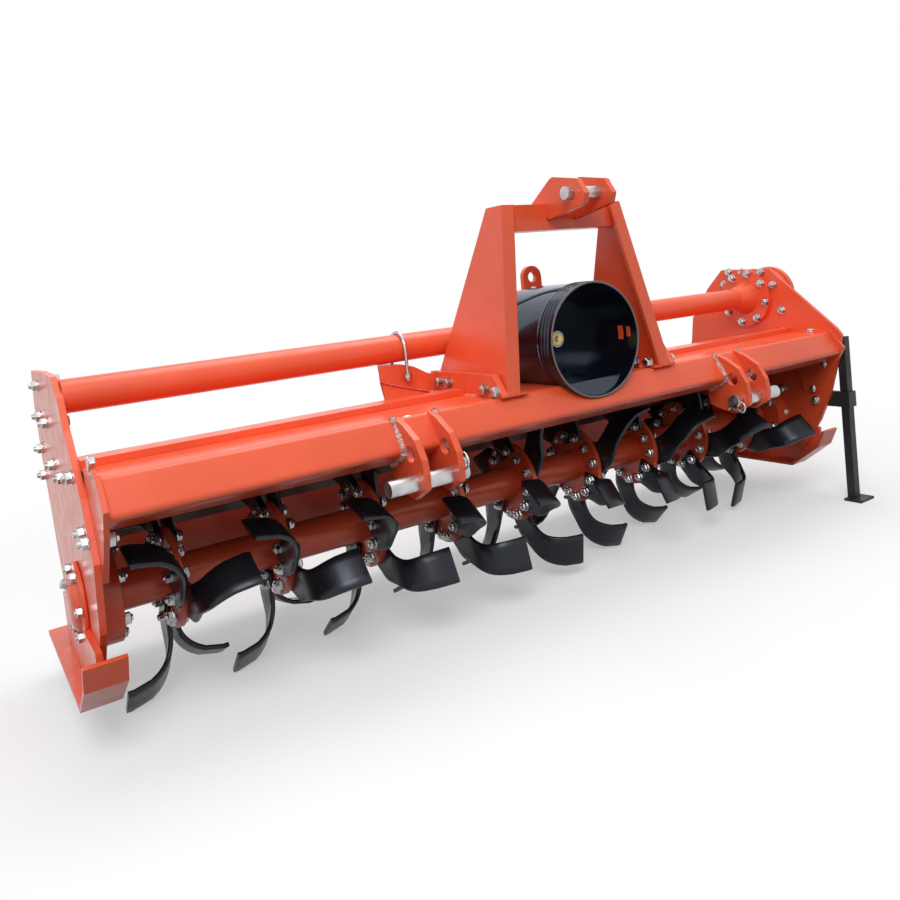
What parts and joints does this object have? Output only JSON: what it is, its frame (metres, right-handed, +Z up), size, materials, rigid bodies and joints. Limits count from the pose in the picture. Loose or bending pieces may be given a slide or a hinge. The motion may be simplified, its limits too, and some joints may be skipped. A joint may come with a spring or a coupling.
{
  "type": "rotavator",
  "caption": "Tractor-mounted rotavator: flanged rotor of curved blades under a hood, A-shaped hitch mast, round drive guard, side drive and trailing board.",
  "frame": {"origin": "on the ground, below the middle of the overall box", "axes": "+X along the working width towards the side with the drive case, -Y towards the tractor, +Z up"},
  "size_m": [1.896, 0.686, 0.855],
  "materials": {
    "red_paint": "gloss",
    "blade_black": "gloss",
    "guard_black": "gloss",
    "galvanised": "satin",
    "stand_black": "satin"
  },
  "bodies": {
    "base": {"bearing_cover": "red_paint", "bearing_left": "red_paint", "bearing_right": "red_paint", "board_hinge_rod": "galvanised", "clevis_left": "red_paint", "clevis_right": "red_paint", "cross_tube": "red_paint", "drive_case": "red_paint", "drive_case_cover": "red_paint", "drive_tube": "red_paint", "front_beam": "red_paint", "gearbox": "red_paint", "hood": "red_paint", "hood_rail": "red_paint", "lifting_eye": "red_paint", "lower_pin_left": "galvanised", "lower_pin_right": "galvanised", "mast_base_left": "red_paint", "mast_base_right": "red_paint", "mast_crossbar": "red_paint", "mast_leg_left": "red_paint", "mast_leg_right": "red_paint", "pto_guard": "guard_black", "side_plate_left": "red_paint", "side_plate_right": "red_paint", "skid_left": "red_paint", "skid_right": "red_paint", "stand_sleeve": "stand_black", "top_link_lugs": "red_paint", "top_link_pin": "galvanised"},
    "rotor": {"blades_left_hand": "blade_black", "blades_right_hand": "blade_black", "rotor_tube": "red_paint"},
    "input": {"input_shaft": "galvanised"},
    "board": {"trailing_board": "red_paint"},
    "stand": {"stand_leg": "stand_black"}
  },
  "joints": [
    {"name": "rotor_spin", "type": "hinge", "parent": "base", "child": "rotor", "pos_m": [-0.033, -0.02, 0.216], "axis": [1, 0, 0], "continuous": true},
    {"name": "input_spin", "type": "hinge", "parent": "base", "child": "input", "pos_m": [0.01, -0.15, 0.5275], "axis": [0, 1, 0], "continuous": true},
    {"name": "board_hinge", "type": "hinge", "parent": "base", "child": "board", "pos_m": [-0.033, 0.226, 0.264], "axis": [1, 0, 0], "range_deg": [-5, 55]},
    {"name": "stand_slide", "type": "slide", "parent": "base", "child": "stand", "axis": [0, 0, 1], "range_m": [0, 0.22]}
  ],
  "couplings": [
    {"joint": "input_spin", "follows": "rotor_spin", "ratio": 2.45}
  ]
}
